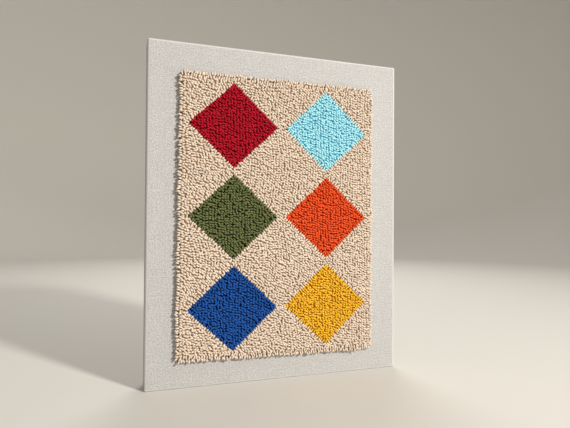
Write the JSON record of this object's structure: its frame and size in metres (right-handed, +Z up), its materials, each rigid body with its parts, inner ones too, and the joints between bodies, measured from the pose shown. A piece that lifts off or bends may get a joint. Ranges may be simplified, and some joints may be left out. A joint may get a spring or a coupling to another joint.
{
  "type": "punch needle wall piece on stretcher frame",
  "caption": "Looped-pile punch needle panel with plain diamond motifs, worked on canvas cloth that is stretched over a deep mitred wooden frame.",
  "frame": {"origin": "middle of the flat bottom edge, halfway through the frame's depth", "axes": "+Z up the face, +X to the right of someone who faces the pile, +Y out of the back"},
  "size_m": [0.4, 0.0473, 0.5],
  "materials": {
    "pine": "matte",
    "canvas_cloth": "matte",
    "yarn_cream": "matte",
    "yarn_red": "matte",
    "yarn_aqua": "matte",
    "yarn_olive": "matte",
    "yarn_orange": "matte",
    "yarn_blue": "matte",
    "yarn_yellow": "matte"
  },
  "bodies": {
    "root": {"bar_top": "pine", "bar_bottom": "pine", "bar_left": "pine", "bar_right": "pine", "ground_cloth": "canvas_cloth", "stitch_side": "yarn_cream", "pile_ground": "yarn_cream", "pile_red": "yarn_red", "pile_aqua": "yarn_aqua", "pile_olive": "yarn_olive", "pile_orange": "yarn_orange", "pile_blue": "yarn_blue", "pile_yellow": "yarn_yellow"}
  },
  "joints": []
}
